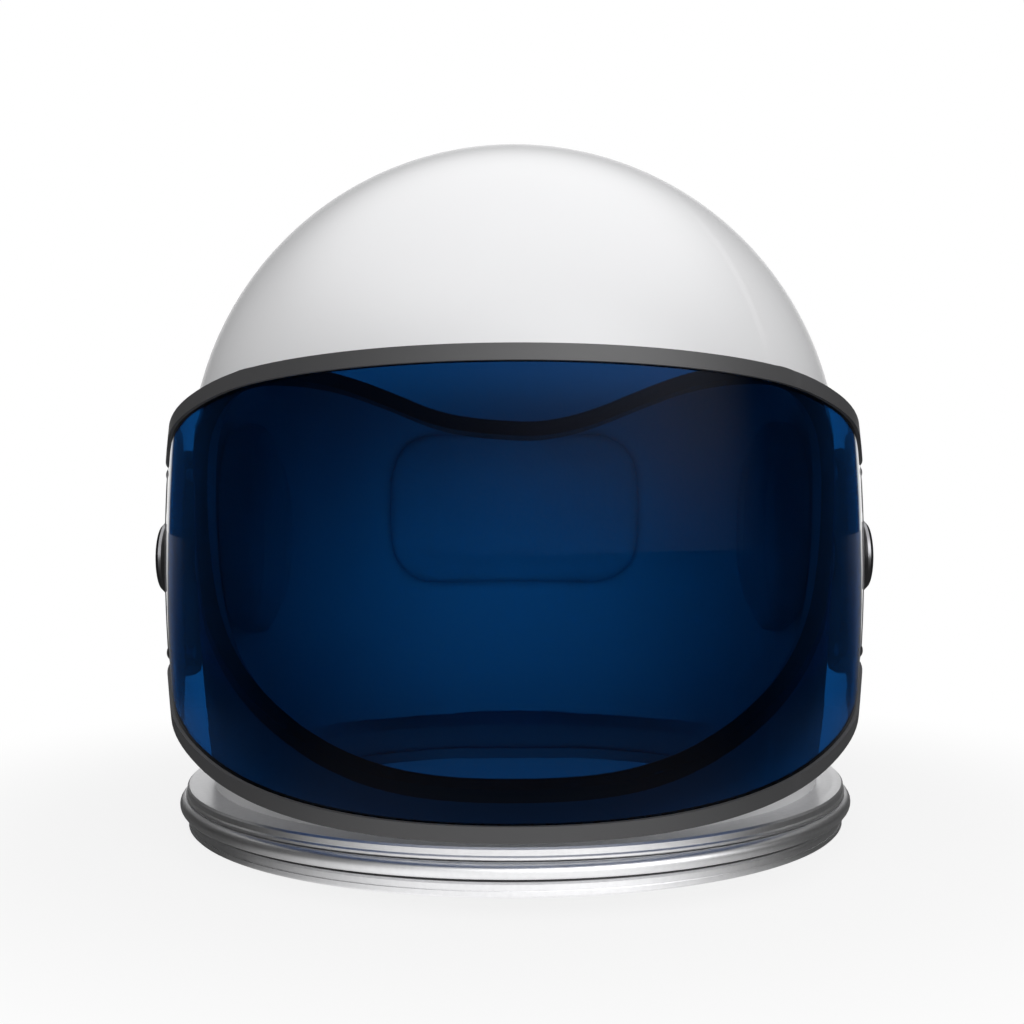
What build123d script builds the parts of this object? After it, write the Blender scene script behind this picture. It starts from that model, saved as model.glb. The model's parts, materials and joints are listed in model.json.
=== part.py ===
from build123d import *
import math
import os

# Space helmet: a white shell on an aluminium neck ring, with a tinted visor that lifts.
# All sizes are in millimetres. +Z is up, the face looks towards -Y, and the wearer's left
# is +X. The origin is the middle of the neck ring's bottom face.

# Shell
shell_radius = 158.0
dome_centre_height = 168.5
shell_wall = 4.0
neck_inset = 11.0

# Neck ring, from the base up. Each step is how far a ring stands out from the shell's neck
bore_step = -12.0
base_step = 12.0
base_height = 6.0
base_groove_depth = 0.5
base_groove_width = 1.0
seal_thickness = 1.2
seal_setback = 1.8
collar_step = 16.0
collar_bulge = 2.6
collar_height = 6.7
flange_step = 12.6
flange_thickness = 5.0
flange_bead = 0.6
flange_bead_height = 1.3
core_step = 1.0
core_wall = 9.0
spigot_height = 8.0
spigot_wall = 3.0
ring_chamfer = 0.8
ring_gap = 0.3
turning_clearance = 0.06

# Screws that hold the base ring on the core
screw_count = 12
screw_radius = 2.0
screw_head_radius = 3.8
screw_angle = 90.0
screw_length = 11.0
screw_clearance = 0.1
screw_socket = 1.6
screw_socket_depth = 1.2

# Face opening, as it is seen from the front
opening_side_margin = 14.0
opening_foot_margin = 19.7
opening_top_rise = 40.0
opening_shares = (
    (0.199, 0.847), (0.309, 0.884), (0.486, 0.942), (0.660, 0.973), (0.792, 0.978),
    (0.889, 0.951), (0.958, 0.887), (0.994, 0.790), (1.000, 0.672), (0.962, 0.418),
    (0.889, 0.288), (0.694, 0.135), (0.396, 0.026),
)
brow_share = 0.823
cut_apex_depth = 70.0
cut_apex_drop = 38.5
cut_back_share = 0.38
cut_front_share = 1.25

# Rubber gasket on the edge of the face opening
gasket_cover = 3.6
gasket_bead = 2.0
gasket_outer_lip = 2.0
gasket_inner_lip = 1.4

# Inner liner
liner_gap = 0.3
liner_thickness = 5.5
liner_edge_gap = 0.6

# Visor, as it is seen from above
visor_front_margin = 0.8
visor_front_offset = 40.0
visor_front_angle = 75.0
visor_cheek_end = -35.0
visor_wing_start = 5.0
visor_barrel_radius = 720.0
visor_blank_margin = 12.4

# Visor, as it is seen from the side
visor_top_gap = 0.3
visor_foot_margin = 9.9
visor_rear_reach = 24.0
visor_rear_corner = 8.0
visor_top_shares = (
    (1.070, 1.017), (0.979, 0.999), (0.892, 0.974), (0.770, 0.932), (0.656, 0.872),
    (0.508, 0.793), (0.377, 0.721), (0.226, 0.660), (0.030, 0.607), (-0.221, 0.577),
)
visor_bottom_shares = (
    (1.070, 1.006), (0.971, 0.998), (0.860, 0.958), (0.714, 0.880), (0.599, 0.808),
    (0.443, 0.727), (0.302, 0.664), (0.151, 0.617), (0.030, 0.591), (-0.221, 0.580),
)

# Visor lens and the rubber trim round its edge
lens_thickness = 2.2
trim_width = 6.2
trim_cover = 4.6
trim_outer_lip = 1.4
trim_inner_lip = 0.8

# Pivot, hinge plates and knobs
pivot_depth = 20.0
pivot_drop = 43.5
plate_reach = 11.5
plate_width = 52.0
plate_corner = 18.0
plate_lift = 1.2
plate_thickness = 3.2
plate_edge_gap = 0.2
seat_height = 3.5
seat_radius = 18.8
seat_foot_radius = 24.0
backing_thickness = 1.5
backing_margin = 4.0
rivet_end_margin = 12.9
rivet_spread = 18.0
rivet_radius = 2.0
rivet_head_radius = 4.2
rivet_head_height = 1.9
rivet_tail_radius = 3.2
rivet_tail_height = 0.9
knob_radius = 18.3
knob_rim = 3.0
knob_dome = 1.1
knob_edge = 1.6
knob_seat_gap = 0.2
knob_slot_length = 20.0
knob_slot_width = 2.6
knob_slot_depth = 1.6
hub_radius = 6.5
hub_length = 8.0
hub_cap_thickness = 3.4
bush_wall = 2.0
bush_flange_radius = 13.0
bush_flange_thickness = 1.0
running_clearance = 0.05
washer_thickness = 0.8
washer_gap = 0.1
boss_radius = 16.0
boss_chamfer = 1.0
shaft_radius = 4.0
shaft_end_gap = 0.4
shaft_head_radius = 7.0
shaft_head_height = 2.2
anchor_radius = 12.5
anchor_thickness = 2.4
anchor_seat_gap = 0.15
anchor_hole_gap = 0.8

# Padding
pad_gap = 0.3
pad_edge = 6.5
crown_pad_thickness = 24.0
crown_pad_width = 116.0
crown_pad_length = 150.0
rear_pad_thickness = 22.0
rear_pad_width = 150.0
rear_pad_height = 96.0
rear_pad_drop = 18.5
side_pad_thickness = 22.0
side_pad_width = 84.0
side_pad_height = 112.0
side_pad_middle_depth = 14.0
side_pad_drop = 28.5
brow_pad_thickness = 14.0
brow_pad_width = 120.0
brow_pad_height = 30.0
brow_pad_lift = 57.5
pad_corner = 30.0
brow_pad_corner = 12.0

# How far a cut runs past what it cuts
overrun = 5.0

# Radii in the neck ring
neck_radius = shell_radius - neck_inset
ring_bore_radius = neck_radius + bore_step
base_radius = neck_radius + base_step
collar_radius = neck_radius + collar_step
flange_radius = neck_radius + flange_step
core_radius = neck_radius + core_step
core_bore_radius = core_radius - core_wall

# Heights in the neck ring
seal_top = base_height + seal_thickness
collar_bottom = seal_top + ring_gap
collar_top = collar_bottom + collar_height
flange_bottom = collar_top + ring_gap
flange_top = flange_bottom + flange_thickness

# The side of the shell is a long arc that leaves the dome's middle upright
shell_drop = dome_centre_height - flange_top
shell_taper = shell_radius - neck_radius
side_radius = (shell_drop ** 2 + shell_taper ** 2) / (2 * shell_taper)

# Places of the face opening and of the visor's edges on the shell
opening_half_width = shell_radius - opening_side_margin
opening_bottom = flange_top + opening_foot_margin
opening_top = dome_centre_height + opening_top_rise
cut_apex_height = dome_centre_height - cut_apex_drop
pivot_height = dome_centre_height - pivot_drop
visor_rise = opening_top - visor_top_gap - pivot_height
visor_drop = pivot_height - flange_top - visor_foot_margin
visor_blank_half_height = max(visor_rise, visor_drop) + visor_blank_margin
visor_rear_rise = visor_top_shares[-1][1] * visor_rise
visor_rear_drop = visor_bottom_shares[-1][1] * visor_drop

# Places of the hinge plates and pads
plate_length = visor_rear_rise + visor_rear_drop + plate_reach
plate_drop = (visor_rear_drop - visor_rear_rise) / 2 - plate_lift
rivet_rise = plate_length / 2 - rivet_end_margin
rear_pad_middle = dome_centre_height - rear_pad_drop
side_pad_middle_height = dome_centre_height - side_pad_drop
brow_pad_middle = dome_centre_height + brow_pad_lift

# Inside faces of the shell's layers, as insets from the outside of the shell
liner_outer_inset = shell_wall + liner_gap
liner_inner_inset = liner_outer_inset + liner_thickness
pad_inset = liner_inner_inset + pad_gap
liner_foot = flange_top + spigot_height + ring_gap

# Corners of the visor's plan
visor_front_radius = shell_radius + visor_front_margin
visor_turn = math.radians(90 - visor_front_angle)
cheek_start_x = visor_front_radius * math.cos(visor_turn)
cheek_start_y = -visor_front_offset - visor_front_radius * math.sin(visor_turn)
cheek_end_x = cheek_start_x + (visor_cheek_end - cheek_start_y) * math.tan(visor_turn)
visor_corner_radius = (visor_wing_start - visor_cheek_end) / math.sin(visor_turn)
visor_corner_x = cheek_end_x - visor_corner_radius * math.cos(visor_turn)
wing_x = visor_corner_x + visor_corner_radius
visor_rear = pivot_depth + visor_rear_reach
blank_rear = pivot_depth + plate_width / 2 + overrun
visor_front = visor_front_radius + visor_front_offset

# Places along the pivot's axis, out from the middle of the helmet
plate_face = wing_x + plate_thickness
seat_face = plate_face + seat_height
knob_face = seat_face + knob_seat_gap
knob_rim_face = knob_face + knob_rim
knob_crown = knob_rim_face + knob_dome
hub_end = knob_face - hub_length
knob_bore_end = knob_crown - hub_cap_thickness
backing_face = wing_x - lens_thickness - backing_thickness
bush_face = backing_face - bush_flange_thickness
bush_end = seat_face - knob_seat_gap
boss_face = bush_face - washer_gap - washer_thickness
shaft_end = knob_bore_end - shaft_end_gap
pivot_shell_radius = shell_radius - side_radius + math.sqrt(
    side_radius ** 2 - (dome_centre_height - pivot_height) ** 2)
anchor_outer = math.sqrt((pivot_shell_radius - shell_wall) ** 2 - pivot_depth ** 2)
anchor_face = anchor_outer - anchor_thickness
shaft_head_face = anchor_face - shaft_head_height
plate_middle_height = pivot_height - plate_drop
knob_bore_radius = shaft_radius + running_clearance
bush_bore_radius = hub_radius + running_clearance
bush_radius = bush_bore_radius + bush_wall

pivot_axis = Axis((0, pivot_depth, pivot_height), (1, 0, 0))


def shell_side_radius(height, inset):
    """Radius of the shell's layer at a height below the dome's middle."""
    below = dome_centre_height - height
    return shell_radius - side_radius + math.sqrt((side_radius - inset) ** 2 - below ** 2)


def shell_fill(inset, foot):
    """Everything inside the shell's outer face moved in by inset, down to a foot."""
    dome = shell_radius - inset
    lean = math.radians(45)
    middle = (dome_centre_height + foot) / 2
    with BuildPart() as fill:
        with BuildSketch(Plane.XZ):
            with BuildLine():
                Line((0, foot), (0, dome_centre_height + dome))
                ThreePointArc(
                    (0, dome_centre_height + dome),
                    (dome * math.sin(lean), dome_centre_height + dome * math.cos(lean)),
                    (dome, dome_centre_height))
                ThreePointArc(
                    (dome, dome_centre_height),
                    (shell_side_radius(middle, inset), middle),
                    (shell_side_radius(foot, inset), foot))
                Line((shell_side_radius(foot, inset), foot), (0, foot))
            make_face()
        revolve(axis=Axis.Z)
    return fill.part


def shell_layer(inset, thickness, foot):
    """A layer that follows the shell, from an inset inwards, open at its foot."""
    with BuildPart() as layer:
        add(shell_fill(inset, foot))
        add(shell_fill(inset + thickness, foot - overrun), mode=Mode.SUBTRACT)
    return layer.part


def opening_points():
    """Points of the face opening on the shell, in order round the opening."""
    height = opening_top - opening_bottom
    right = [(s * opening_half_width, opening_bottom + t * height) for s, t in opening_shares]
    left = [(-x, z) for x, z in reversed(right)]
    brow = (0, opening_bottom + brow_share * height)
    return [brow] + right + [(0, opening_bottom)] + left


def opening_outline(grow, distance_share):
    """Outline of the opening's cut, grown sideways, on a plane across the cut.

    The cut is a cone of rays from an apex inside the helmet, so its walls stand
    nearly square to the shell all round.
    """
    reach = cut_apex_depth + shell_radius
    flat = []
    for x, z in opening_points():
        if z > dome_centre_height:
            radius = math.sqrt(shell_radius ** 2 - (z - dome_centre_height) ** 2)
        else:
            radius = shell_side_radius(z, 0)
        scale = reach / (cut_apex_depth + math.sqrt(radius ** 2 - x ** 2))
        flat.append((x * scale, (z - cut_apex_height) * scale, scale))
    outline = []
    for i, (x, z, scale) in enumerate(flat):
        before = flat[i - 1]
        after = flat[(i + 1) % len(flat)]
        along = (after[0] - before[0], after[1] - before[1])
        length = math.hypot(*along)
        outline.append((
            (x - along[1] / length * grow * scale) * distance_share,
            (z + along[0] / length * grow * scale) * distance_share))
    return outline


def opening_cut(grow):
    """Solid cone through the front of the helmet, the shape of the face opening."""
    reach = cut_apex_depth + shell_radius
    with BuildPart() as cut:
        for share in (cut_back_share, cut_front_share):
            plane = Plane(
                origin=(0, cut_apex_depth - reach * share, cut_apex_height),
                x_dir=(1, 0, 0), z_dir=(0, -1, 0))
            with BuildSketch(plane):
                with BuildLine():
                    Spline(*opening_outline(grow, share), periodic=True)
                make_face()
        loft(ruled=True)
    return cut.part


def visor_layer(outer, inner):
    """Curved sheet of the visor between two offsets from its outer face."""
    middle_x = visor_corner_x + visor_corner_radius * math.cos(visor_turn / 2)
    middle_y = visor_wing_start - visor_corner_radius * math.sin(visor_turn / 2)

    def barrel(offset):
        end = math.sqrt((visor_barrel_radius + offset) ** 2 - visor_blank_half_height ** 2)
        return [
            (end - visor_barrel_radius, -visor_blank_half_height),
            (offset, 0),
            (end - visor_barrel_radius, visor_blank_half_height)]

    outer_side = barrel(outer)
    inner_side = barrel(inner)
    with BuildPart() as layer:
        with BuildLine(Plane.XY.offset(pivot_height)) as plan:
            Line((wing_x, blank_rear), (wing_x, visor_wing_start))
            ThreePointArc((wing_x, visor_wing_start), (middle_x, middle_y), (cheek_end_x, visor_cheek_end))
            Line((cheek_end_x, visor_cheek_end), (cheek_start_x, cheek_start_y))
            ThreePointArc((cheek_start_x, cheek_start_y), (0, -visor_front), (-cheek_start_x, cheek_start_y))
            Line((-cheek_start_x, cheek_start_y), (-cheek_end_x, visor_cheek_end))
            ThreePointArc((-cheek_end_x, visor_cheek_end), (-middle_x, middle_y), (-wing_x, visor_wing_start))
            Line((-wing_x, visor_wing_start), (-wing_x, blank_rear))
        section_plane = Plane(origin=(wing_x, blank_rear, pivot_height), x_dir=(1, 0, 0), z_dir=(0, -1, 0))
        with BuildSketch(section_plane):
            with BuildLine():
                ThreePointArc(*outer_side)
                Line(outer_side[-1], inner_side[-1])
                ThreePointArc(*reversed(inner_side))
                Line(inner_side[0], outer_side[0])
            make_face()
        sweep(path=plan.wire())
    return layer.part


def visor_edge(shares, height, inset):
    """Points of the visor's upper or lower edge from the side, moved towards its middle."""
    points = [(-s * visor_front, pivot_height + t * height) for s, t in shares]
    toward = -math.copysign(inset, height)
    moved = []
    for i, (y, z) in enumerate(points):
        before = points[max(i - 1, 0)]
        after = points[min(i + 1, len(points) - 1)]
        run = after[0] - before[0]
        climb = after[1] - before[1]
        length = math.hypot(run, climb)
        moved.append((y - toward * climb / length, z + toward * run / length))
    moved[-1] = (visor_rear - inset, moved[-1][1])
    return moved


def visor_outline(inset):
    """Block across the helmet with the visor's outline from the side, drawn in by inset."""
    top = visor_edge(visor_top_shares, visor_rise, inset)
    bottom = visor_edge(visor_bottom_shares, -visor_drop, inset)
    with BuildPart() as block:
        with BuildSketch(Plane.YZ):
            with BuildLine():
                Spline(*top)
                Line(top[-1], bottom[-1])
                Spline(*reversed(bottom))
                Line(bottom[0], top[0])
            make_face()
            rear_corners = vertices().sort_by(Axis.X)[-2:]
            fillet(rear_corners, radius=visor_rear_corner - inset)
        extrude(amount=wing_x + overrun, both=True)
    return block.part


def plate_outline(grow, from_x):
    """Block on the wearer's left with the hinge plate's outline, grown by a margin."""
    plane = Plane(origin=(from_x, pivot_depth, plate_middle_height), x_dir=(0, 1, 0), z_dir=(1, 0, 0))
    with BuildPart() as block:
        with BuildSketch(plane):
            RectangleRounded(plate_width + 2 * grow, plate_length + 2 * grow, plate_corner + grow)
        extrude(amount=knob_crown)
    return block.part


def turned(profile):
    """Solid turned about the pivot's axis from points of distance out and radius."""
    with BuildPart() as piece:
        with BuildSketch(Plane(origin=(0, pivot_depth, pivot_height), x_dir=(1, 0, 0), z_dir=(0, -1, 0))):
            with BuildLine():
                Polyline(*profile, close=True)
            make_face()
        revolve(axis=pivot_axis)
    return piece.part


def pivot_cylinder(radius, start, end):
    """Plain cylinder on the pivot's axis."""
    return turned([(start, 0), (end, 0), (end, radius), (start, radius)])


def ring(profile):
    """Solid turned about the helmet's upright axis from points of radius and height."""
    with BuildPart() as piece:
        with BuildSketch(Plane.XZ):
            with BuildLine():
                Polyline(*profile, close=True)
            make_face()
        revolve(axis=Axis.Z)
    return piece.part


def save(piece, name):
    """Name a finished piece and write it."""
    piece.label = name
    export_step(piece, f"parts/{name}.step")


def save_pair(piece, name):
    """Write a piece of the wearer's left and its mirror image for the right."""
    save(piece, f"{name}_left")
    save(mirror(piece, about=Plane.YZ), f"{name}_right")


os.makedirs("parts", exist_ok=True)

# Shapes that several pieces share
both_ends = (1, -1)
lens_outline = visor_outline(trim_width - trim_cover)
lens_sheet = visor_layer(0, -lens_thickness)
plate_zone = plate_outline(0, 0)

# Shell, with holes for the two pivot shafts
with BuildPart() as shell:
    add(shell_layer(0, shell_wall, flange_top))
    add(opening_cut(0), mode=Mode.SUBTRACT)
    for side in both_ends:
        add(pivot_cylinder(knob_bore_radius, 0, side * wing_x), mode=Mode.SUBTRACT)
save(shell.part, "shell")

# Liner, with holes over the shaft anchors
with BuildPart() as liner:
    add(shell_layer(liner_outer_inset, liner_thickness, liner_foot))
    add(opening_cut(gasket_cover + liner_edge_gap), mode=Mode.SUBTRACT)
    for side in both_ends:
        add(pivot_cylinder(anchor_radius + anchor_hole_gap, 0, side * wing_x), mode=Mode.SUBTRACT)
save(liner.part, "inner_liner")

# Gasket round the face opening, a channel that grips the shell's edge
with BuildPart() as gasket:
    add(shell_layer(-gasket_outer_lip, gasket_outer_lip + shell_wall + gasket_inner_lip, flange_top))
    add(opening_cut(gasket_cover), mode=Mode.INTERSECT)
    add(opening_cut(-gasket_bead), mode=Mode.SUBTRACT)
    add(shell.part, mode=Mode.SUBTRACT)
save(gasket.part, "face_gasket")

# Lens of the visor, with holes for the bushes and rivets
rivet_places = [
    (pivot_depth + side * rivet_spread, plate_middle_height + end * rivet_rise)
    for side in both_ends for end in both_ends]
with BuildPart() as left_drillings:
    for y, z in rivet_places:
        with BuildSketch(Plane(origin=(0, y, z), x_dir=(0, 0, 1), z_dir=(1, 0, 0))):
            Circle(rivet_radius)
        extrude(amount=knob_crown)
    add(pivot_cylinder(bush_radius, 0, knob_crown))

with BuildPart() as lens:
    add(lens_sheet)
    add(lens_outline, mode=Mode.INTERSECT)
    add(left_drillings.part, mode=Mode.SUBTRACT)
    add(mirror(left_drillings.part, about=Plane.YZ), mode=Mode.SUBTRACT)
save(lens.part, "visor_lens")

# Trim round the lens, in an upper and a lower strip that end at the hinge plates
with BuildPart() as trim:
    add(visor_layer(trim_outer_lip, -lens_thickness - trim_inner_lip))
    add(visor_outline(0), mode=Mode.INTERSECT)
    add(visor_outline(trim_width), mode=Mode.SUBTRACT)
    add(lens.part, mode=Mode.SUBTRACT)
    plate_space = plate_outline(plate_edge_gap, 0)
    add(plate_space, mode=Mode.SUBTRACT)
    add(mirror(plate_space, about=Plane.YZ), mode=Mode.SUBTRACT)
trim_strips = trim.part.solids().sort_by(Axis.Z)
save(trim_strips[0], "lower_trim")
save(trim_strips[-1], "upper_trim")

# Hinge plate over each end of the lens, with a raised seat for the knob
with BuildPart() as hinge_plate:
    add(visor_layer(plate_thickness, 0))
    add(plate_zone, mode=Mode.INTERSECT)
    add(turned([
        (wing_x, 0), (seat_face, 0), (seat_face, seat_radius),
        (plate_face, seat_foot_radius), (wing_x, seat_foot_radius)]))
    add(left_drillings.part, mode=Mode.SUBTRACT)
save_pair(hinge_plate.part, "hinge_plate")

# Backing plate inside each end of the lens
with BuildPart() as backing_plate:
    add(visor_layer(-lens_thickness, -lens_thickness - backing_thickness))
    add(plate_outline(-backing_margin, 0), mode=Mode.INTERSECT)
    add(left_drillings.part, mode=Mode.SUBTRACT)
save_pair(backing_plate.part, "backing_plate")

# Rivets through plate, lens and backing plate


def rivet_sag():
    """How far the visor's face falls back at the height of the rivets."""
    return visor_barrel_radius - math.sqrt(visor_barrel_radius ** 2 - rivet_rise ** 2)


head_foot = plate_face - rivet_sag() - rivet_head_height / 2
head_top = plate_face - rivet_sag() + rivet_head_height
tail_top = backing_face - rivet_sag()
tail_end = tail_top - rivet_tail_height
with BuildPart() as rivets:
    for y, z in rivet_places:
        place = Plane(origin=(0, y, z), x_dir=(1, 0, 0), z_dir=(0, -1, 0))
        with BuildSketch(place):
            with BuildLine():
                Line((tail_end, 0), (head_top, 0))
                ThreePointArc(
                    (head_top, 0),
                    (head_foot + (head_top - head_foot) * math.sin(math.radians(45)),
                     rivet_head_radius * math.cos(math.radians(45))),
                    (head_foot, rivet_head_radius))
                Polyline(
                    (head_foot, rivet_head_radius), (head_foot, rivet_radius),
                    (tail_top, rivet_radius), (tail_top, rivet_tail_radius),
                    (tail_end, rivet_tail_radius), (tail_end, 0))
            make_face()
        revolve(axis=Axis((0, y, z), (1, 0, 0)))
    add(hinge_plate.part, mode=Mode.SUBTRACT)
    add(backing_plate.part, mode=Mode.SUBTRACT)
save_pair(rivets.part, "hinge_rivets")

# Bush that carries the visor on the knob's hub
with BuildPart() as bush:
    add(pivot_cylinder(bush_flange_radius, bush_face, backing_face + backing_thickness / 2))
    add(visor_layer(0, -lens_thickness - backing_thickness), mode=Mode.SUBTRACT)
    add(pivot_cylinder(bush_radius, bush_face, bush_end))
    add(pivot_cylinder(bush_bore_radius, 0, knob_crown), mode=Mode.SUBTRACT)
save_pair(bush.part, "pivot_bush")

# Boss on the outside of the shell, and the washer that the bush runs on
with BuildPart() as boss:
    add(turned([
        (anchor_face, 0), (boss_face, 0), (boss_face, boss_radius - boss_chamfer),
        (boss_face - boss_chamfer, boss_radius), (anchor_face, boss_radius)]))
    add(shell_fill(0, flange_top), mode=Mode.SUBTRACT)
    add(pivot_cylinder(knob_bore_radius, 0, knob_crown), mode=Mode.SUBTRACT)
save_pair(boss.part, "pivot_boss")

with BuildPart() as washer:
    add(pivot_cylinder(bush_flange_radius, boss_face, boss_face + washer_thickness))
    add(pivot_cylinder(knob_bore_radius, 0, knob_crown), mode=Mode.SUBTRACT)
save_pair(washer.part, "friction_washer")

# Anchor washer inside the shell, and the shaft with its hexagon head
with BuildPart() as anchor:
    add(pivot_cylinder(anchor_radius, anchor_face, wing_x))
    add(shell_fill(shell_wall + anchor_seat_gap, flange_top), mode=Mode.INTERSECT)
    add(pivot_cylinder(knob_bore_radius, 0, knob_crown), mode=Mode.SUBTRACT)
save_pair(anchor.part, "anchor_washer")

head_plane = Plane(
    origin=(shaft_head_face, pivot_depth, pivot_height), x_dir=(0, 1, 0), z_dir=(1, 0, 0))
with BuildPart() as shaft:
    with BuildSketch(head_plane):
        RegularPolygon(shaft_head_radius, 6)
    extrude(amount=shaft_head_height)
    add(pivot_cylinder(shaft_radius, anchor_face, shaft_end))
save_pair(shaft.part, "pivot_shaft")

# Knob with its threaded hub, and a slot to turn it by
knob_flat_radius = knob_radius - knob_edge
slot_plane = Plane(
    origin=(knob_crown - knob_slot_depth, pivot_depth, pivot_height), x_dir=(0, 1, 0), z_dir=(1, 0, 0))
with BuildPart() as knob:
    with BuildSketch(Plane(origin=(0, pivot_depth, pivot_height), x_dir=(1, 0, 0), z_dir=(0, -1, 0))):
        with BuildLine():
            Polyline(
                (knob_bore_end, 0), (knob_bore_end, knob_bore_radius), (hub_end, knob_bore_radius),
                (hub_end, hub_radius), (knob_face, hub_radius), (knob_face, knob_radius),
                (knob_rim_face - knob_edge, knob_radius), (knob_rim_face, knob_flat_radius))
            ThreePointArc(
                (knob_rim_face, knob_flat_radius),
                (knob_rim_face + knob_dome * 3 / 4, knob_flat_radius / 2),
                (knob_crown, 0))
            Line((knob_crown, 0), (knob_bore_end, 0))
        make_face()
    revolve(axis=pivot_axis)
    with BuildSketch(slot_plane):
        SlotOverall(knob_slot_length, knob_slot_width)
    extrude(amount=knob_slot_depth + overrun, mode=Mode.SUBTRACT)
save_pair(knob.part, "pivot_knob")

# Neck flange: the upper ring, its core and the spigot that the shell stands round
neck_inner = neck_radius - shell_wall
with BuildPart() as flange:
    add(ring([
        (core_bore_radius, base_height), (core_radius, base_height), (core_radius, flange_bottom),
        (flange_radius + flange_bead - ring_chamfer / 2, flange_bottom),
        (flange_radius + flange_bead, flange_bottom + ring_chamfer / 2),
        (flange_radius + flange_bead, flange_bottom + flange_bead_height),
        (flange_radius, flange_bottom + flange_bead_height + flange_bead),
        (flange_radius, flange_top - ring_chamfer), (flange_radius - ring_chamfer, flange_top),
        (neck_inner - liner_gap, flange_top), (neck_inner - liner_gap, flange_top + spigot_height),
        (neck_inner - liner_gap - spigot_wall, flange_top + spigot_height),
        (core_bore_radius, flange_top)]))
    screw_circle_radius = (core_bore_radius + core_radius) / 2
    with BuildSketch(Plane.XY.offset(base_height)):
        with PolarLocations(screw_circle_radius, screw_count):
            Circle(screw_radius + screw_clearance)
    extrude(amount=screw_length - base_height + screw_clearance, mode=Mode.SUBTRACT)
save(flange.part, "neck_flange")

# Locking collar, which turns round the core between the flange and the base
with BuildPart() as collar:
    collar_inner = core_radius + turning_clearance
    collar_foot = collar_radius - collar_bulge
    with BuildSketch(Plane.XZ):
        with BuildLine():
            ThreePointArc(
                (collar_foot, collar_bottom),
                (collar_radius, (collar_bottom + collar_top) / 2),
                (collar_foot, collar_top))
            Line((collar_foot, collar_top), (collar_inner, collar_top))
            Line((collar_inner, collar_top), (collar_inner, collar_bottom))
            Line((collar_inner, collar_bottom), (collar_foot, collar_bottom))
        make_face()
    revolve(axis=Axis.Z)
save(collar.part, "locking_collar")

# Flat seal under the collar
save(ring([
    (core_radius, base_height), (base_radius - seal_setback, base_height),
    (base_radius - seal_setback, seal_top), (core_radius, seal_top)]), "ring_seal")

# Base ring, with countersunk holes from below
groove_bottom = (base_height - base_groove_width) / 2
groove_top = groove_bottom + base_groove_width
with BuildPart() as base_ring:
    add(ring([
        (ring_bore_radius + ring_chamfer, 0), (base_radius - ring_chamfer, 0), (base_radius, ring_chamfer),
        (base_radius, groove_bottom), (base_radius - base_groove_depth, groove_bottom),
        (base_radius - base_groove_depth, groove_top), (base_radius, groove_top),
        (base_radius, base_height - ring_chamfer), (base_radius - ring_chamfer, base_height),
        (ring_bore_radius, base_height), (ring_bore_radius, ring_chamfer)]))
    with Locations(Plane.XY.rotated((180, 0, 0))):
        with PolarLocations(screw_circle_radius, screw_count):
            CounterSinkHole(
                radius=screw_radius + screw_clearance,
                counter_sink_radius=screw_head_radius + screw_clearance,
                depth=base_height + overrun, counter_sink_angle=screw_angle)
save(base_ring.part, "base_ring")

# Countersunk screws, one group of separate solids
screw_top = screw_clearance + screw_length
with BuildPart() as one_screw:
    with BuildSketch(Plane.XZ):
        with BuildLine():
            Polyline(
                (0, screw_clearance), (screw_head_radius, screw_clearance),
                (screw_radius, screw_clearance + screw_head_radius - screw_radius),
                (screw_radius, screw_top), (0, screw_top), close=True)
        make_face()
    revolve(axis=Axis.Z)
    with BuildSketch(Plane.XY.offset(screw_clearance)):
        RegularPolygon(screw_socket, 6)
    extrude(amount=screw_socket_depth, mode=Mode.SUBTRACT)
with BuildPart() as screws:
    with PolarLocations(screw_circle_radius, screw_count):
        add(one_screw.part)
save(screws.part, "ring_screws")


def pad(outline, thickness):
    """Cushion that follows the liner, cut to an outline and rounded all round."""
    with BuildPart() as cushion:
        add(shell_layer(pad_inset, thickness, liner_foot))
        add(outline, mode=Mode.INTERSECT)
        rims = edges().filter_by(GeomType.LINE, reverse=True)
        fillet(rims, radius=pad_edge)
    return cushion.part


# Crown pad under the top of the liner
with BuildPart() as crown_outline:
    with BuildSketch(Plane.XY.offset(dome_centre_height)):
        Ellipse(crown_pad_width / 2, crown_pad_length / 2)
    extrude(amount=shell_radius)
save(pad(crown_outline.part, crown_pad_thickness), "crown_pad")

# Rear pad behind the head
with BuildPart() as rear_outline:
    with BuildSketch(Plane(origin=(0, 0, rear_pad_middle), x_dir=(-1, 0, 0), z_dir=(0, 1, 0))):
        RectangleRounded(rear_pad_width, rear_pad_height, pad_corner)
    extrude(amount=shell_radius)
save(pad(rear_outline.part, rear_pad_thickness), "rear_pad")

# Side pads over the ears
with BuildPart() as side_outline:
    side_pad_plane = Plane(
        origin=(0, side_pad_middle_depth, side_pad_middle_height), x_dir=(0, 1, 0), z_dir=(1, 0, 0))
    with BuildSketch(side_pad_plane):
        Ellipse(side_pad_width / 2, side_pad_height / 2)
    extrude(amount=shell_radius)
save_pair(pad(side_outline.part, side_pad_thickness), "side_pad")

# Brow pad above the face opening
with BuildPart() as brow_outline:
    with BuildSketch(Plane(origin=(0, 0, brow_pad_middle), x_dir=(1, 0, 0), z_dir=(0, -1, 0))):
        RectangleRounded(brow_pad_width, brow_pad_height, brow_pad_corner)
    extrude(amount=shell_radius)
save(pad(brow_outline.part, brow_pad_thickness), "brow_pad")
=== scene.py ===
"""Looks of the space helmet: finishes, inner cushions, studio and camera."""

import json
import logging
import math
from dataclasses import dataclass
from enum import Enum

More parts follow.
